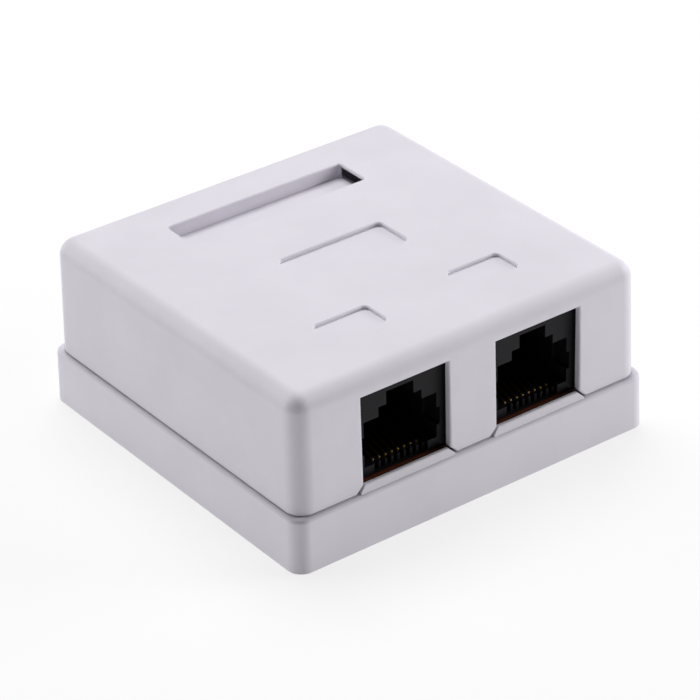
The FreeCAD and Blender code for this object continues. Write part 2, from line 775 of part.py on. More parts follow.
def makeHousing(side):
    body = newBody(f"jack_housing_{side}", SIDES[side])
    outer = box(halves("dim.jack_width"), (JACK_FACE, JACK_BACK))
    add(body, "block", "XY_Plane", [outer], (BOARD_TOP, JACK_TOP))
    face = valueOf(JACK_FACE)
    dress(body, "Chamfer", "face_edge", lambda edge: edge.BoundBox.YMax < face + LOOSE, "dim.jack_edge")
    mouth = f"{JACK_FACE} - dim.past"
    end = f"{JACK_FACE} + dim.cavity_depth"
    # the way for the plug, then the narrower steps above it for the plug's latch
    plug = box(halves("dim.cavity_width"), (CAVITY_BOTTOM, CAVITY_TOP))
    cut(body, "plug_way", "XZ_Plane", [plug], (mouth, end))
    step = box(halves("dim.step_width"), (f"{CAVITY_TOP} - dim.past", STEP_TOP))
    cut(body, "latch_step", "XZ_Plane", [step], (mouth, end))
    slot = box(halves("dim.slot_width"), (f"{STEP_TOP} - dim.past", SLOT_TOP))
    cut(body, "latch_slot", "XZ_Plane", [slot], (mouth, end))
    room = box(halves("dim.step_width"), (f"{STEP_TOP} - dim.past", SLOT_TOP))
    cut(body, "latch_room", "XZ_Plane", [room], (f"{JACK_FACE} + dim.latch_bar", end))
    notchFoot = f"({CAVITY_BOTTOM} + dim.side_notch_rise)"
    notch = box(
        halves("dim.cavity_width + 2 * dim.side_notch"), (notchFoot, f"{notchFoot} + dim.side_notch_height")
    )
    cut(body, "side_notches", "XZ_Plane", [notch], (mouth, f"{JACK_FACE} + dim.side_notch_depth"))
    # the trough under the plug's way holds the runs of the spring contacts, and the bay their carrier
    width = f"dim.contact_pitch * {WAYS} + 2 * dim.trough_side"
    trough = box(halves(width), (TROUGH_BOTTOM, f"{CAVITY_BOTTOM} + dim.past"))
    cut(body, "trough", "XZ_Plane", [trough], (mouth, end))
    bay = box(halves("dim.bay_width"), ("dim.board_bottom", BAY_TOP))
    cut(body, "bay", "XZ_Plane", [bay], (f"{JACK_FACE} + dim.bay_start", f"{JACK_BACK} + dim.past"))
    start = f"({JACK_FACE} + dim.comb_start)"
    tooth = box(
        halves(
            "dim.contact_pitch - dim.contact_width - 2 * dim.comb_clear", f"-dim.contact_pitch * {WAYS / 2}"
        ),
        (start, f"{start} + dim.comb_length"),
    )
    first = add(body, "comb", "XY_Plane", [tooth], (TROUGH_BOTTOM, f"{CAVITY_BOTTOM} - dim.comb_drop"))
    repeat(body, [first], "dim.contact_pitch", WAYS + 1)
    line = f"{JACK_FACE} + dim.peg_depth"
    pegs = [octagon(f"{sign}dim.peg_aside", line, "dim.peg_radius") for sign in ("-", "")]
    add(body, "pegs", "XY_Plane", pegs, ("dim.board_bottom - dim.peg_reach", BOARD_TOP))
    return body


def makeCarrier(side):
    body = newBody(f"contact_carrier_{side}", SIDES[side])
    front = f"({JACK_FACE} + dim.bay_start + 2 * dim.carrier_clear)"
    back = f"({JACK_BACK} - dim.carrier_clear)"
    foot = f"({BOARD_TOP} + dim.carrier_clear)"
    top = f"({BAY_TOP} - dim.carrier_clear)"
    outer = box(halves("dim.bay_width - 2 * dim.carrier_clear"), (front, back))
    add(body, "block", "XY_Plane", [outer], (foot, top))
    # the contacts' runs lie in channels underneath, and their tips stand in a comb in front
    place = halves(
        "dim.contact_width + 2 * dim.carrier_slot_clear", f"-dim.contact_pitch * {(WAYS - 1) / 2}"
    )
    channel = box(place, (f"{foot} - dim.past", f"{BOARD_TOP} + dim.channel_height"))
    first = cut(
        body, "channel", "XZ_Plane", [channel], (f"{front} - dim.past", f"{back} - dim.channel_lip")
    )
    repeat(body, [first], "dim.contact_pitch", WAYS)
    restTop = f"({BAY_TOP} - dim.rest_lip)"
    rest = box(place, (f"{restTop} - dim.rest_height", restTop))
    first = cut(body, "rest", "XZ_Plane", [rest], (f"{front} - dim.past", f"{front} + dim.rest_depth"))
    repeat(body, [first], "dim.contact_pitch", WAYS)
    return body


def ribbonSide(corners, bends, offset):
    # one edge of a bent strip: straight runs joined by tangent arcs, offset to the left of the path
    ways = [(end - start).normalize() for start, end in zip(corners, corners[1:])]
    lefts = [FreeCAD.Vector(-way.y, way.x, 0) for way in ways]
    pieces = []
    last = corners[0] + lefts[0] * offset
    for index, bend in enumerate(bends):
        corner = corners[index + 1]
        before, after = ways[index], ways[index + 1]
        turn = math.atan2(before.cross(after).z, before.dot(after))
        reach = bend * math.tan(abs(turn) / 2)
        entry = corner - before * reach
        leave = corner + after * reach
        centre = entry + lefts[index] * math.copysign(bend, turn)
        start = entry + lefts[index] * offset
        end = leave + lefts[index + 1] * offset
        middle = centre + ((start - centre) + (end - centre)).normalize() * (start - centre).Length
        pieces.append(Part.LineSegment(last, start))
        pieces.append(Part.Arc(start, middle, end))
        last = end
    pieces.append(Part.LineSegment(last, corners[-1] + lefts[-1] * offset))
    return pieces


def contactPath(row):
    # up the solder tail, forward under the plug's way, round the front bend and back up into the way
    face = valueOf(JACK_FACE)
    tail = face + valueOf(f"dim.tail_{row}")
    front = face + valueOf("dim.contact_front")
    tip = face + valueOf("dim.contact_tip")
    run = valueOf(f"{TROUGH_BOTTOM} + dim.contact_lift")
    rise = run + valueOf("dim.contact_rise")
    climb = (tip - front) * math.tan(math.radians(valueOf("dim.contact_angle")))
    spots = [(tail, valueOf(TAIL_BOTTOM)), (tail, run), (front, run), (front, rise), (tip, rise + climb)]
    return [FreeCAD.Vector(y, z, 0) for y, z in spots]


def makeContact(side, way):
    place = f"{SIDES[side]} + dim.contact_pitch * {way - (WAYS - 1) / 2}"
    body = newBody(f"contact_{side}_{way + 1}", place)
    corners = contactPath("near" if way % 2 == 0 else "far")
    bends = [valueOf(f"dim.contact_{bend}") for bend in ("heel", "bend", "bend")]
    half = valueOf("dim.contact_thick / 2")
    near = ribbonSide(corners, bends, half)
    far = ribbonSide(corners, bends, -half)
    ends = [
        Part.LineSegment(near[-1].EndPoint, far[-1].EndPoint),
        Part.LineSegment(far[0].StartPoint, near[0].StartPoint),
    ]
    low, high = halves("dim.contact_width")
    sketch = newSketch(body, "strip", "YZ_Plane", low, [])
    for piece in near + far + ends:
        sketch.addGeometry(piece, False)
    extrude(body, "strip", sketch, f"({high}) - ({low})")
    return body


def makeWireBlock(side, row):
    body = newBody(f"wire_block_{side}_{row}", SIDES[side])
    depth = halves("dim.block_depth", ROWS[row])
    length = f"dim.way_pitch * {WAYS_PER_BLOCK - 1} + dim.blade_width + 2 * dim.block_end"
    add(body, "block", "XY_Plane", [box(halves(length), depth)], (BOARD_TOP, BLOCK_TOP))
    top = valueOf(BLOCK_TOP)
    dress(body, "Chamfer", "top_edge", lambda edge: isLevel(edge, top), "dim.block_edge")
    centre = f"-dim.way_pitch * {(WAYS_PER_BLOCK - 1) / 2}"
    floor = f"{BLOCK_TOP} - dim.way_depth"
    throat = f"{BLOCK_TOP} - dim.way_throat"
    above = f"{BLOCK_TOP} + dim.past"
    slot = [
        (f"{centre} - dim.way_slot / 2", floor),
        (f"{centre} + dim.way_slot / 2", floor),
        (f"{centre} + dim.way_slot / 2", throat),
        (f"{centre} + dim.way_mouth / 2", above),
        (f"{centre} - dim.way_mouth / 2", above),
        (f"{centre} - dim.way_slot / 2", throat),
    ]
    first = cut(body, "wire_slot", "XZ_Plane", [slot], (f"{depth[0]} - dim.past", f"{depth[1]} + dim.past"))
    repeat(body, [first], "dim.way_pitch", WAYS_PER_BLOCK)
    pocket = box(
        halves("dim.blade_width + 2 * dim.blade_clear", centre),
        halves("dim.blade_thick + 2 * dim.blade_clear", ROWS[row]),
    )
    first = cut(body, "blade_pocket", "XY_Plane", [pocket], (f"{BOARD_TOP} - dim.past", above))
    repeat(body, [first], "dim.way_pitch", WAYS_PER_BLOCK)
    return body


def makeBlade(side, row, way):
    number = way + 1 + (WAYS_PER_BLOCK if row == "back" else 0)
    place = f"{SIDES[side]} + dim.way_pitch * {way - (WAYS_PER_BLOCK - 1) / 2}"
    body = newBody(f"wire_blade_{side}_{number}", place)
    half = "dim.blade_width / 2"
    top = f"({BLOCK_TOP} - dim.blade_sink)"
    right = [
        ("dim.blade_tail / 2", TAIL_BOTTOM),
        ("dim.blade_tail / 2", BOARD_TOP),
        (half, BOARD_TOP),
        (half, top),
        ("dim.blade_mouth / 2", top),
        ("dim.blade_gap / 2", f"{top} - dim.blade_throat"),
        ("dim.blade_gap / 2", f"{top} - dim.blade_gap_depth"),
    ]
    left = [(f"-{x}", z) for x, z in reversed(right)]
    add(body, "blade", "XZ_Plane", [right + left], halves("dim.blade_thick", ROWS[row]))
    return body


def makeAll():
    pieces = [makeBase(), makeCover(), makeBoard()]
    for side in SIDES:
        pieces.append(makeHousing(side))
        pieces.append(makeCarrier(side))
        for way in range(WAYS):
            pieces.append(makeContact(side, way))
        for row in ROWS:
            pieces.append(makeWireBlock(side, row))
            for way in range(WAYS_PER_BLOCK):
                pieces.append(makeBlade(side, row, way))
    return pieces


def checkAll(pieces):
    doc.recompute()
    for item in doc.Objects:
        if "Invalid" in item.State or "Error" in item.State:
            raise RuntimeError(f"{item.Label} did not build: {item.State}")
    for body in pieces:
        shape = body.Shape
        if shape.isNull() or not shape.isValid() or len(shape.Solids) != 1:
            raise RuntimeError(f"{body.Label} is not one valid solid")


pieces = makeAll()
checkAll(pieces)
os.makedirs("parts", exist_ok=True)
for body in pieces:
    body.Shape.exportStep(f"parts/{body.Label}.step")
    print(f"{body.Label}: {body.Shape.Volume:.1f} mm3")
print(f"{len(pieces)} pieces")
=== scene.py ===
import json
import math
import bmesh
import bpy
from mathutils import Matrix, Vector


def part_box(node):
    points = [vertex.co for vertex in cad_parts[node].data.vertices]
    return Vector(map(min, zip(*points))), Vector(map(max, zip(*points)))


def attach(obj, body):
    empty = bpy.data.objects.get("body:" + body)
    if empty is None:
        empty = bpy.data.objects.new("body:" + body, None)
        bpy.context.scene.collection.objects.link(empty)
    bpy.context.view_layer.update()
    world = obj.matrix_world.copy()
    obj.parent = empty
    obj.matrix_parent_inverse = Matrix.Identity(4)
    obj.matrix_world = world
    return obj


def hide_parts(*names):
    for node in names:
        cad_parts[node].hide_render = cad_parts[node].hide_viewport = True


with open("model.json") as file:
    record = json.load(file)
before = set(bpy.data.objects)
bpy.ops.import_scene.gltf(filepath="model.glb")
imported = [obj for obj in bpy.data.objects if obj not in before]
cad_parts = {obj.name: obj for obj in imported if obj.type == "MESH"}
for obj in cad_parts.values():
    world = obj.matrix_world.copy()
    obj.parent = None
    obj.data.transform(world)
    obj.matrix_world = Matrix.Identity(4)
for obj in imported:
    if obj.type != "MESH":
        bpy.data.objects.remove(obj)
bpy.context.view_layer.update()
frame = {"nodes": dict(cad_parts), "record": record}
nodes = frame["nodes"]
scene = bpy.context.scene
mm = 0.001
sides = ("left", "right")
waysPerSocket = 8
waysPerBlock = 4
noiseReach = (0.3, 0.7)     # nearly all of a noise texture's values lie between these
print("packed jack box loaded")


def colour(code):
    # sRGB hex to linear, as the shader sockets want it
    parts = [int(code[i:i + 2], 16) / 255 for i in (1, 3, 5)]
    line = [p / 12.92 if p <= 0.04045 else ((p + 0.055) / 1.055) ** 2.4 for p in parts]
    return (*line, 1.0)


def addNode(tree, kind, inputs=None, **settings):
    # inputs: socket name or number -> a value, or an output socket to link from
    node = tree.nodes.new(kind)
    for name, value in settings.items():
        setattr(node, name, value)
    for key, value in (inputs or {}).items():
        if isinstance(value, bpy.types.NodeSocket):
            tree.links.new(value, node.inputs[key])
        else:
            node.inputs[key].default_value = value
    return node


def newMaterial(name, **fixed):
    # fixed: what is the same all over the surface, set on the shader's own sockets
    material = bpy.data.materials.new(name)
    material.use_nodes = True
    tree = material.node_tree
    tree.nodes.clear()
    shader = addNode(tree, "ShaderNodeBsdfPrincipled")
    for key, value in fixed.items():
        shader.inputs[key.replace("_", " ")].default_value = value
    addNode(tree, "ShaderNodeOutputMaterial", {"Surface": shader.outputs[0]})
    place = addNode(tree, "ShaderNodeTexCoord").outputs["Object"]
    return material, tree, shader, place


def grain(tree, place, sizeMm, detail=2.0, rough=0.6, stretch=(1, 1, 1)):
    # noise whose grains are sizeMm across, times stretch along each axis
    scale = [1 / (sizeMm * mm * s) for s in stretch]
    spots = addNode(tree, "ShaderNodeMapping", {"Vector": place, "Scale": scale})
    return addNode(tree, "ShaderNodeTexNoise", {
        "Vector": spots.outputs[0], "Scale": 1.0, "Detail": detail, "Roughness": rough,
    }).outputs["Fac"]


def tint(tree, factor, *codes):
    # from the first colour to the second as the noise rises
    ramp = addNode(tree, "ShaderNodeValToRGB", {"Fac": factor})
    for stop, position, code in zip(ramp.color_ramp.elements, noiseReach, codes):
        stop.position = position
        stop.color = colour(code)
    return ramp.outputs["Color"]


def spread(tree, factor, low, high):
    return addNode(tree, "ShaderNodeMapRange", {
        "Value": factor, "From Min": noiseReach[0], "From Max": noiseReach[1], "To Min": low, "To Max": high,
    }).outputs["Result"]


def finish(tree, shader, sizes, skin, height):
    # skin is the colour, height is the noise that drives the gloss and the relief
    tree.links.new(skin, shader.inputs["Base Color"])
    tree.links.new(spread(tree, height, *sizes["roughs"]), shader.inputs["Roughness"])
    relief = addNode(tree, "ShaderNodeBump", {
        "Height": height, "Strength": 1.0, "Distance": sizes["depthMm"] * mm,
    })
    tree.links.new(relief.outputs["Normal"], shader.inputs["Normal"])


casingFinish = {
    "colours": ("#DCD8E1", "#E2DEE7"),
    "flowMm": 14.0,         # faint cloudiness where the melt flowed
    "flowDetail": 3.0,
    "sparkMm": 0.42,        # spark-eroded grain, really about 0.1 mm, drawn coarser so that it shows
    "depthMm": 0.012,
    "roughs": (0.56, 0.68),
}


def mouldedAbs():
    # injection-moulded ABS from a spark-eroded tool: cool white, a soft sheen, no sharp reflections
    f = casingFinish
    material, tree, shader, place = newMaterial("cool white moulded ABS, fine matt grain", IOR=1.54)
    spark = grain(tree, place, f["sparkMm"])
    flow = grain(tree, place, f["flowMm"], f["flowDetail"])
    finish(tree, shader, f, tint(tree, flow, *f["colours"]), spark)
    return material


housingFinish = {
    "colours": ("#0F0F12", "#16161A"),
    "fibreMm": 0.16,        # glass fibres float up in streaks along the flow, front to back
    "fibreDetail": 3.0,
    "stretch": (1, 12, 1),
    "depthMm": 0.006,
    "roughs": (0.36, 0.5),
}


def mouldedPbt():
    # glass-filled PBT: hard and blue-black, half gloss, with short streaks of fibre in the skin
    f = housingFinish
    material, tree, shader, place = newMaterial(
        "black glass-filled PBT, half gloss", IOR=1.57, Specular_IOR_Level=0.12)
    fibre = grain(tree, place, f["fibreMm"], f["fibreDetail"], stretch=f["stretch"])
    finish(tree, shader, f, tint(tree, fibre, *f["colours"]), fibre)
    return material


wireBlockFinish = {
    "colours": ("#C6C6C2", "#D0D0CC"),
    "flowMm": 4.0,
    "flowDetail": 3.0,
    "sparkMm": 0.3,         # tool grain, drawn at three times its size so that it shows
    "depthMm": 0.008,
    "roughs": (0.3, 0.42),
}


def mouldedPc():
    # moulded polycarbonate: pale grey, slightly glassy, light goes a little way in
    f = wireBlockFinish
    material, tree, shader, place = newMaterial(
        "pale grey moulded polycarbonate, satin", IOR=1.58, Subsurface_Weight=0.1, Subsurface_Scale=0.5 * mm)
    spark = grain(tree, place, f["sparkMm"])
    flow = grain(tree, place, f["flowMm"], f["flowDetail"])
    finish(tree, shader, f, tint(tree, flow, *f["colours"]), spark)
    return material


laminateFinish = {
    "colours": ("#4E2412", "#60301A"),
    "paperMm": 1.3,         # blotches of the paper layers under the resin
    "paperDetail": 4.0,
    "fibreMm": 0.3,         # paper fibres, drawn coarser than the real 0.05 mm so that they show
    "depthMm": 0.006,
    "roughs": (0.3, 0.42),
}


def phenolicLaminate():
    # paper soaked in phenolic resin and pressed: red-brown, a little glossy, blotched
    f = laminateFinish
    material, tree, shader, place = newMaterial("brown phenolic paper laminate, pressed gloss", IOR=1.56)
    fibre = grain(tree, place, f["fibreMm"])
    paper = grain(tree, place, f["paperMm"], f["paperDetail"])
    finish(tree, shader, f, tint(tree, paper, *f["colours"]), fibre)
    return material


bladeFinish = {
    "colours": ("#B4B6B9", "#CBCDCF"),
    "lineMm": 0.1,          # drawing lines of the rolled strip, upright on the blade
    "stretch": (1, 1, 14),
    "depthMm": 0.003,
    "roughs": (0.26, 0.4),
}


def tinnedStrip():
    # tin plate over rolled bronze: soft grey metal with fine drawing lines
    f = bladeFinish
    material, tree, shader, place = newMaterial("tin-plated bronze strip, rolled", Metallic=1.0)
    line = grain(tree, place, f["lineMm"], stretch=f["stretch"])
    finish(tree, shader, f, tint(tree, line, *f["colours"]), line)
    return material


contactFinish = {
    # the gold colours are far darker than bright gold flash: painted shade, standing for the dark inside of
    # the socket where the contacts lie
    "shadedGold": ("#4A3B1F", "#5E4B27"),
    "tin": ("#A9ABAE", "#BFC1C3"),
    "lineMm": 0.06,
    "stretch": (1, 14, 14),
    "depthMm": 0.002,
    "roughs": (0.24, 0.34),
    "goldAlong": (-14.85, -14.35),  # mm along Y: gold ahead of the first, tin behind the second
    "goldUp": (9.0, 9.3),           # mm along Z: tin under the first, gold over the second
}


def goldFlash():
    # gold flashed over nickel where the plug touches, tin on the tails: warm front, grey back; the gold is
    # drawn far darker than bright gold, as painted shade of the socket's dark inside
    f = contactFinish
    material, tree, shader, place = newMaterial("gold-flashed phosphor bronze wire, drawn", Metallic=1.0)
    line = grain(tree, place, f["lineMm"], stretch=f["stretch"])
    along = addNode(tree, "ShaderNodeSeparateXYZ", {0: place})
    low, high = f["goldUp"]
    above = addNode(tree, "ShaderNodeMapRange", {
        "Value": along.outputs["Z"], "From Min": low * mm, "From Max": high * mm,
    })
    front, back = f["goldAlong"]
    ahead = addNode(tree, "ShaderNodeMapRange", {
        "Value": along.outputs["Y"], "From Min": front * mm, "From Max": back * mm,
        "To Min": 1.0, "To Max": 0.0,
    })
    golden = addNode(tree, "ShaderNodeMath", {
        0: above.outputs[0], 1: ahead.outputs[0],
    }, operation="MULTIPLY")
    plated = addNode(tree, "ShaderNodeMix", {
        "Factor": golden.outputs[0], "A": tint(tree, line, *f["tin"]), "B": tint(tree, line, *f["shadedGold"]),
    }, data_type="RGBA")
    finish(tree, shader, f, plated.outputs["Result"], line)
    return material


finishes = {
    "white_casing": mouldedAbs(),
    "black_housing": mouldedPbt(),
    "grey_wire_block": mouldedPc(),
    "brown_laminate_board": phenolicLaminate(),
    "gold_plated_contact": goldFlash(),
    "tinned_blade": tinnedStrip(),
}
for part in frame["record"]["subparts"]:
    for materialSlot in nodes[part["node"]].material_slots:
        materialSlot.material = finishes[part["material_slot"]]
print("materials made and given to the packed pieces")


labelSlot = {
    "mouth": 14.65 * mm,            # half the recess's length
    "reach": (1.0 * mm, 2.5 * mm),  # how far inward of the mouth the slot's walls lie
    "line": (14.5 * mm, 19.8 * mm),     # where the slot lies along Y
    "height": (23.0 * mm, 24.8 * mm),   # and along Z
    "flare": 1.15,          # how far the slot's back side runs back, per length inward
    "fall": 0.5,            # how far the slot's floor drops, per length inward
    "floorBand": 0.2 * mm,  # what lies this low in the slot is its floor
    "weld": 0.0001 * mm,
}


def mergedCopy(node, reach):
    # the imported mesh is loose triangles: the copy's are joined, and its old shading comes with it
    mesh = nodes[node].data.copy()
    shading = [corner.vector.copy() for corner in mesh.corner_normals]
    work = bmesh.new()
    work.from_mesh(mesh)
    bmesh.ops.remove_doubles(work, verts=work.verts, dist=reach)
    work.to_mesh(mesh)
    work.free()
    return mesh, shading


def openLabelSlots():
    # the slot at each end of the label recess opens out inward, so its mouth shows the dark inside
    s = labelSlot
    mesh, shading = mergedCopy("cover", s["weld"])
    middle = sum(s["line"]) / 2
    floor = s["height"][0] + s["floorBand"]
    moved = set()
    for vertex in mesh.vertices:
        spot = vertex.co
        inward = abs(spot.x) - s["mouth"]
        ranges = ((inward, s["reach"]), (spot.y, s["line"]), (spot.z, s["height"]))
        if not all(low < value < high for value, (low, high) in ranges):
            continue
        if spot.y > middle:
            spot.y += s["flare"] * inward
        if spot.z < floor:
            spot.z -= s["fall"] * inward
        moved.add(vertex.index)
    mesh.update()
    for face in mesh.polygons:
        if moved.intersection(face.vertices):
            for corner in face.loop_indices:
                shading[corner] = face.normal.copy()    # a moved wall is flat
    mesh.normals_split_custom_set(shading)
    shell = bpy.data.objects.new("cover_shell", mesh)
    scene.collection.objects.link(shell)
    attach(shell, "cover_body")
    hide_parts("cover")


openLabelSlots()
print("label slots opened out")


def newTree(name, sizes):
    # returns the tree, its input sockets by name, and the socket identifiers
    tree = bpy.data.node_groups.new(name, "GeometryNodeTree")
    tree.interface.new_socket("Geometry", in_out="INPUT", socket_type="NodeSocketGeometry")
    tree.interface.new_socket("Geometry", in_out="OUTPUT", socket_type="NodeSocketGeometry")
    kinds = {float: "NodeSocketFloat", int: "NodeSocketInt", bpy.types.Material: "NodeSocketMaterial"}
    names = {}
    for label, value in sizes.items():
        socket = tree.interface.new_socket(label, in_out="INPUT", socket_type=kinds[type(value)])
        names[label] = socket.identifier
    return tree, addNode(tree, "NodeGroupInput").outputs, names


def closeTree(tree, geometry, material):
    real = addNode(tree, "GeometryNodeRealizeInstances", {0: geometry})
    painted = addNode(tree, "GeometryNodeSetMaterial", {"Geometry": real.outputs[0], "Material": material})
    addNode(tree, "NodeGroupOutput", {0: painted.outputs[0]})


def grow(name, start, tree, names, sizes, body):
    # runs the tree on the start mesh and keeps the result as a plain mesh
    holder = bpy.data.objects.new(name + "_start", start)
    scene.collection.objects.link(holder)
    modifier = holder.modifiers.new("grow", "NODES")
    modifier.node_group = tree
    for label, value in sizes.items():
        modifier[names[label]] = value
    grown = holder.evaluated_get(bpy.context.evaluated_depsgraph_get())
    mesh = bpy.data.meshes.new_from_object(grown)
    mesh.name = name
    holder.modifiers.remove(modifier)
    bpy.data.objects.remove(holder)
    piece = bpy.data.objects.new(name, mesh)
    scene.collection.objects.link(piece)
    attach(piece, body)
    return piece


def spotMesh(name, spots):
    mesh = bpy.data.meshes.new(name)
    mesh.from_pydata([tuple(s) for s in spots], [], [])
    return mesh


def routeMesh(name, routes):
    # each route becomes a chain of edges
    points, edges = [], []
    for route in routes:
        first = len(points)
        points += [tuple(p) for p in route]
        edges += [(i, i + 1) for i in range(first, len(points) - 1)]
    mesh = bpy.data.meshes.new(name)
    mesh.from_pydata(points, edges, [])
    return mesh


def stripTree(name, sizes):
    # a flat strip with rounded edges along every route, its bends filleted
    tree, entry, names = newTree(name, sizes)
    route = addNode(tree, "GeometryNodeMeshToCurve", {0: entry["Geometry"]})
    bent = addNode(tree, "GeometryNodeFilletCurve", {
        "Curve": route.outputs[0], "Count": entry["Bend steps"],
        "Radius": entry["Bend"], "Limit Radius": True,
    }, mode="POLY")
    flat = addNode(tree, "GeometryNodeCurvePrimitiveQuadrilateral", {
        "Width": entry["Width"], "Height": entry["Thickness"],
    })
    section = addNode(tree, "GeometryNodeFilletCurve", {
        "Curve": flat.outputs[0], "Count": entry["Edge steps"], "Radius": entry["Edge"],
    }, mode="POLY")
    strip = addNode(tree, "GeometryNodeCurveToMesh", {
        "Curve": bent.outputs[0], "Profile Curve": section.outputs[0], "Fill Caps": True,
    })
    closeTree(tree, strip.outputs[0], entry["Material"])
    return tree, names


contactSizes = {
    "strip": {
        "Width": 0.45 * mm,
        "Thickness": 0.35 * mm,
        "Edge": 0.07 * mm,
        "Edge steps": 2,
        "Bend": 0.55 * mm,
        "Bend steps": 6,
    },
    "runLift": 0.7 * mm,    # from the board's top to the run under the plug's way
    "frontRise": 0.6 * mm,
    "tipReach": 13.0 * mm,  # from the socket's face to the free end
    "lean": 19.0,           # degrees that the free arm climbs toward the back
}


def contactPoints(side, way):
    # up the tail, forward along the run, round the front bend and back up into the way
    c = contactSizes
    low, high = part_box(f"contact_{side}_{way}")
    half = c["strip"]["Thickness"] / 2
    x = (low.x + high.x) / 2
    tail, front = high.y - half, low.y + half
    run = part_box("circuit_board")[1].z + c["runLift"]
    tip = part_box(f"jack_housing_{side}")[0].y + c["tipReach"]
    rise = run + c["frontRise"]
    climb = (tip - front) * math.tan(math.radians(c["lean"]))
    heights = [(tail, low.z), (tail, run), (front, run), (front, rise), (tip, rise + climb)]
    return [Vector((x, y, z)) for y, z in heights]


def makeContacts():
    sizes = dict(contactSizes["strip"], Material=finishes["gold_plated_contact"])
    tree, names = stripTree("spring contact along each route", sizes)
    for side in sides:
        ways = range(1, waysPerSocket + 1)
        start = routeMesh("contact routes", [contactPoints(side, way) for way in ways])
        name = f"spring_contacts_{side}"
        springs = grow(name, start, tree, names, sizes, "base_body")
        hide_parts(*(f"contact_{side}_{way}" for way in ways))


makeContacts()
print("spring contacts made")


def tailSpot(node, inward=None):
    # where a node's tail leaves the board's underside
    low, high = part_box(node)
    y = (low.y + high.y) / 2 if inward is None else high.y - inward
    return Vector(((low.x + high.x) / 2, y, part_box("circuit_board")[0].z))


def contactTail(side, way):
    return tailSpot(f"contact_{side}_{way}", contactSizes["strip"]["Thickness"] / 2)


def bladeTail(side, way):
    return tailSpot(f"wire_blade_{side}_{way}")


solderSizes = {
    "Foot": 0.72 * mm,
    "Neck": 0.34 * mm,
    "Height": 0.95 * mm,
    "Hollow": 3.0,          # the power of height that the flank follows, 1 being a plain cone
    "Sides": 20,
    "Rings": 8,
}
solderFinish = {
    "colours": ("#ABAEB2", "#C6C8CB"),
    "frostMm": 0.3,         # frosting where the tin froze last
    "depthMm": 0.01,
    "roughs": (0.22, 0.38),
}


def reflowedTin():
    # lead-free solder: bright and liquid-looking, a little frosted where it froze
    f = solderFinish
    material, tree, shader, place = newMaterial("reflowed tin solder, bright", Metallic=1.0)
    frost = grain(tree, place, f["frostMm"])
    finish(tree, shader, f, tint(tree, frost, *f["colours"]), frost)
    return material


def makeSolder():
    # a concave cone of solder round each tail under the board
    sizes = dict(solderSizes, Material=reflowedTin())
    tree, entry, names = newTree("solder joint on each tail", sizes)
    post = addNode(tree, "GeometryNodeMeshCylinder", {
        "Vertices": entry["Sides"], "Side Segments": entry["Rings"], "Radius": 1.0, "Depth": 1.0,
    }, fill_type="NGON")
    spot = addNode(tree, "GeometryNodeInputPosition")
    part = addNode(tree, "ShaderNodeSeparateXYZ", {0: spot.outputs[0]})
    up = addNode(tree, "ShaderNodeMath", {0: part.outputs["Z"], 1: 0.5}, operation="ADD")
    curve = addNode(tree, "ShaderNodeMath", {0: up.outputs[0], 1: entry["Hollow"]}, operation="POWER")
    radius = addNode(tree, "ShaderNodeMapRange", {
        "Value": curve.outputs[0], "To Min": entry["Neck"], "To Max": entry["Foot"],
    })
    depth = addNode(tree, "ShaderNodeMath", {0: up.outputs[0], 1: 1.0}, operation="SUBTRACT")
    low = addNode(tree, "ShaderNodeMath", {0: depth.outputs[0], 1: entry["Height"]}, operation="MULTIPLY")
    x = addNode(tree, "ShaderNodeMath", {0: part.outputs["X"], 1: radius.outputs[0]}, operation="MULTIPLY")
    y = addNode(tree, "ShaderNodeMath", {0: part.outputs["Y"], 1: radius.outputs[0]}, operation="MULTIPLY")
    shaped = addNode(tree, "ShaderNodeCombineXYZ", {0: x.outputs[0], 1: y.outputs[0], 2: low.outputs[0]})
    moved = addNode(tree, "GeometryNodeSetPosition", {
        "Geometry": post.outputs["Mesh"], "Position": shaped.outputs[0],
    })
    joints = addNode(tree, "GeometryNodeInstanceOnPoints", {
        "Points": entry["Geometry"], "Instance": moved.outputs[0],
    })
    closeTree(tree, joints.outputs[0], entry["Material"])
    ways = [(side, way) for side in sides for way in range(1, waysPerSocket + 1)]
    tails = [tail(*way) for way in ways for tail in (contactTail, bladeTail)]
    grow("solder_joints", spotMesh("tail spots", tails), tree, names, sizes, "base_body")


makeSolder()
print("solder joints made")


trackSizes = {
    "strip": {
        "Width": 0.42 * mm,
        "Thickness": 0.07 * mm,     # 0.035 mm copper, twice as thick so that its edge shows
        "Edge": 0.02 * mm,
        "Edge steps": 1,
        "Bend": 0.8 * mm,
        "Bend steps": 6,
    },
    "fanStart": 1.1 * mm,       # behind the rear row of contact tails
    "fanEnd": 1.9 * mm,         # ahead of the front row of blades
    "laneAside": 1.8 * mm,      # a track to the rear row passes this far beside the front pad
    "turnIn": 2.6 * mm,         # ahead of the rear row of blades
    "turnOut": 0.65 * mm,       # ahead of the rear pad, where the track is in line with it again
    "sink": 0.01 * mm,          # into the board, so that no gap shows
}
trackFinish = {
    "colours": ("#9C9A94", "#B5B3AC"),
    "waveMm": 0.8,              # waves that the dip leaves
    "depthMm": 0.01,
    "roughs": (0.35, 0.5),
}


def trackPoints(side, way):
    # odd contacts go to the front row of blades, even ones pass beside it to the rear row
    t = trackSizes
    start = contactTail(side, way)
    toRear = way % 2 == 0
    end = bladeTail(side, way // 2 + waysPerBlock if toRear else (way + 1) // 2)
    level = start.z - t["strip"]["Thickness"] / 2 + t["sink"]
    lane = end.x + (t["laneAside"] if toRear else 0)
    fanStart = contactTail(side, 2).y + t["fanStart"]
    fanEnd = bladeTail(side, 1).y - t["fanEnd"]
    spots = [(start.x, start.y), (start.x, fanStart), (lane, fanEnd)]
    if toRear:
        spots += [(lane, end.y - t["turnIn"]), (end.x, end.y - t["turnOut"])]
    spots.append((end.x, end.y))
    return [Vector((x, y, level)) for x, y in spots]


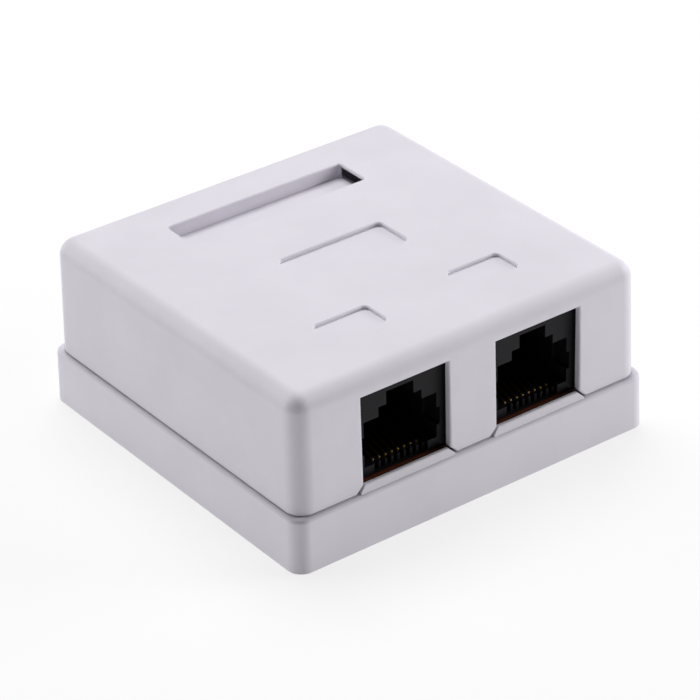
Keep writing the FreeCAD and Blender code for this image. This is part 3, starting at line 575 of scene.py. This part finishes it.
def tinnedTrack():
    # copper track dipped in tin: dull silver with a wavy skin
    f = trackFinish
    material, tree, shader, place = newMaterial("tin-dipped copper track, dull", Metallic=1.0)
    wave = grain(tree, place, f["waveMm"])
    finish(tree, shader, f, tint(tree, wave, *f["colours"]), wave)
    return material


def makeTracks():
    sizes = dict(trackSizes["strip"], Material=tinnedTrack())
    tree, names = stripTree("track along each route", sizes)
    routes = [trackPoints(side, way) for side in sides for way in range(1, waysPerSocket + 1)]
    grow("board_tracks", routeMesh("track routes", routes), tree, names, sizes, "base_body")


makeTracks()
print("board tracks made")


ejectorSizes = {
    "ring": {
        "Radius": 1.9 * mm,
        "Line": 0.07 * mm,      # half the width of the raised ring that the pin leaves
        "Ring steps": 40,
        "Line steps": 8,
    },
    "roof": 1.8 * mm,           # thickness of the cover's roof
    "roofSpots": [(x * mm, y * mm) for x in (-21.5, 21.5) for y in (-19.0, 1.5, 21.5)],
    "floor": 2.0 * mm,          # thickness of the base's floor
    "floorSpots": [(x * mm, y * mm) for x in (-21.5, 21.5) for y in (-8.0, 22.5)],
}


def makeEjectorMarks():
    # the thin rings that ejector pins leave on the hidden side of a moulding
    e = ejectorSizes
    sizes = dict(e["ring"], Material=finishes["white_casing"])
    tree, entry, names = newTree("ejector ring on each spot", sizes)
    ring = addNode(tree, "GeometryNodeCurvePrimitiveCircle", {
        "Resolution": entry["Ring steps"], "Radius": entry["Radius"],
    })
    line = addNode(tree, "GeometryNodeCurvePrimitiveCircle", {
        "Resolution": entry["Line steps"], "Radius": entry["Line"],
    })
    raised = addNode(tree, "GeometryNodeCurveToMesh", {
        "Curve": ring.outputs[0], "Profile Curve": line.outputs[0],
    })
    marks = addNode(tree, "GeometryNodeInstanceOnPoints", {
        "Points": entry["Geometry"], "Instance": raised.outputs[0],
    })
    closeTree(tree, marks.outputs[0], entry["Material"])
    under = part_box("cover")[1].z - e["roof"]
    for name, spots, level, body in (
        ("cover_ejector_marks", e["roofSpots"], under, "cover_body"),
        ("base_ejector_marks", e["floorSpots"], e["floor"], "base_body"),
    ):
        start = spotMesh(name + " spots", [(x, y, level) for x, y in spots])
        grow(name, start, tree, names, sizes, body)


makeEjectorMarks()
print("ejector marks made")


cameraSizes = {
    "azimuthDeg": -36.31,
    "elevationDeg": 30.79,
    "rollDeg": -1.56,
    "distance": 444.34 * mm,
    "aim": (-2.588 * mm, -4.648 * mm, 12.589 * mm),
    "lensMm": 169.63,
    "sensorMm": 36,
    "nearClip": 10 * mm,
}


def outward(azimuthDeg, elevationDeg):
    # azimuth 0 is the sockets' side, a positive one turns toward +X
    a, e = math.radians(azimuthDeg), math.radians(elevationDeg)
    return Vector((math.sin(a) * math.cos(e), -math.cos(a) * math.cos(e), math.sin(e)))


def makeCamera():
    c = cameraSizes
    back = outward(c["azimuthDeg"], c["elevationDeg"])
    level = outward(c["azimuthDeg"] + 90, 0)
    rise = back.cross(level)
    roll = math.radians(c["rollDeg"])
    right = level * math.cos(roll) + rise * math.sin(roll)
    up = rise * math.cos(roll) - level * math.sin(roll)
    data = bpy.data.cameras.new("camera")
    data.lens = c["lensMm"]
    data.sensor_width = c["sensorMm"]
    data.clip_start = c["nearClip"]
    camera = bpy.data.objects.new("camera", data)
    scene.collection.objects.link(camera)
    turn = Matrix((right, up, back)).transposed().to_4x4()
    camera.matrix_world = Matrix.Translation(Vector(c["aim"]) + back * c["distance"]) @ turn
    scene.camera = camera


makeCamera()


studioSizes = {
    "skyColour": "#F4F3F8",
    "skyStrength": 0.05,
    "floorHalf": 3.0,       # metres
    "floorDrop": 0.02 * mm,     # keeps the paper clear of the box's underside
    "floorColour": "#FCFCFC",
    "floorRough": 0.9,
    "floorWhite": 0.74,     # how far the floor's look is lifted to plain white; the rest keeps the shadow
    "floorGlow": 0.5,       # the light table under the paper, which fills the low faces from below
    "lamps": {
        # azimuth and elevation in degrees, distance, width and height in metres, watts
        "rear right softbox": (155, 68, 0.55, 0.36, 0.36, 2.38),
        "low left softbox": (-132, 18, 0.55, 0.32, 0.24, 1.08),
        "low right softbox": (63, 19, 0.55, 0.32, 0.26, 1.95),
    },
}


def makeSky():
    world = bpy.data.worlds.new("studio")
    world.use_nodes = True
    tree = world.node_tree
    tree.nodes.clear()
    dim = addNode(tree, "ShaderNodeBackground", {
        "Color": colour(studioSizes["skyColour"]), "Strength": studioSizes["skyStrength"],
    })
    addNode(tree, "ShaderNodeOutputWorld", {"Surface": dim.outputs[0]})
    scene.world = world


def makeFloor():
    # white paper, lifted to plain white where the camera, metal or glass looks straight at it
    s = studioSizes
    half, level = s["floorHalf"], -s["floorDrop"]
    corners = [(-half, -half, level), (half, -half, level), (half, half, level), (-half, half, level)]
    mesh = bpy.data.meshes.new("floor")
    mesh.from_pydata(corners, [], [(0, 1, 2, 3)])
    floor = bpy.data.objects.new("floor", mesh)
    scene.collection.objects.link(floor)
    material = bpy.data.materials.new("white studio paper, matt")
    material.use_nodes = True
    tree = material.node_tree
    tree.nodes.clear()
    paper = addNode(tree, "ShaderNodeBsdfPrincipled", {
        "Base Color": colour(s["floorColour"]), "Roughness": s["floorRough"],
    })
    white = addNode(tree, "ShaderNodeEmission", {"Color": colour("#FFFFFF"), "Strength": 1.0})
    path = addNode(tree, "ShaderNodeLightPath")
    direct = addNode(tree, "ShaderNodeMath", {
        0: path.outputs["Is Camera Ray"], 1: path.outputs["Is Glossy Ray"],
    }, operation="MAXIMUM")
    seen = addNode(tree, "ShaderNodeMath", {
        0: direct.outputs[0], 1: path.outputs["Is Transmission Ray"],
    }, operation="MAXIMUM")
    share = addNode(tree, "ShaderNodeMath", {0: seen.outputs[0], 1: s["floorWhite"]}, operation="MULTIPLY")
    lifted = addNode(tree, "ShaderNodeMath", {0: share.outputs[0], 1: s["floorGlow"]}, operation="MAXIMUM")
    mixed = addNode(tree, "ShaderNodeMixShader", {
        0: lifted.outputs[0], 1: paper.outputs[0], 2: white.outputs[0],
    })
    addNode(tree, "ShaderNodeOutputMaterial", {"Surface": mixed.outputs[0]})
    mesh.materials.append(material)


def makeLamps():
    for name, (azimuth, elevation, distance, width, height, watts) in studioSizes["lamps"].items():
        data = bpy.data.lights.new(name, "AREA")
        data.shape = "RECTANGLE"
        data.size, data.size_y = width, height
        data.energy = watts
        lamp = bpy.data.objects.new(name, data)
        scene.collection.objects.link(lamp)
        away = outward(azimuth, elevation)
        lamp.location = away * distance
        lamp.rotation_euler = away.to_track_quat("Z", "Y").to_euler()


makeSky()
makeFloor()
makeLamps()
scene.view_settings.view_transform = "Standard"
print("camera, floor and light made")
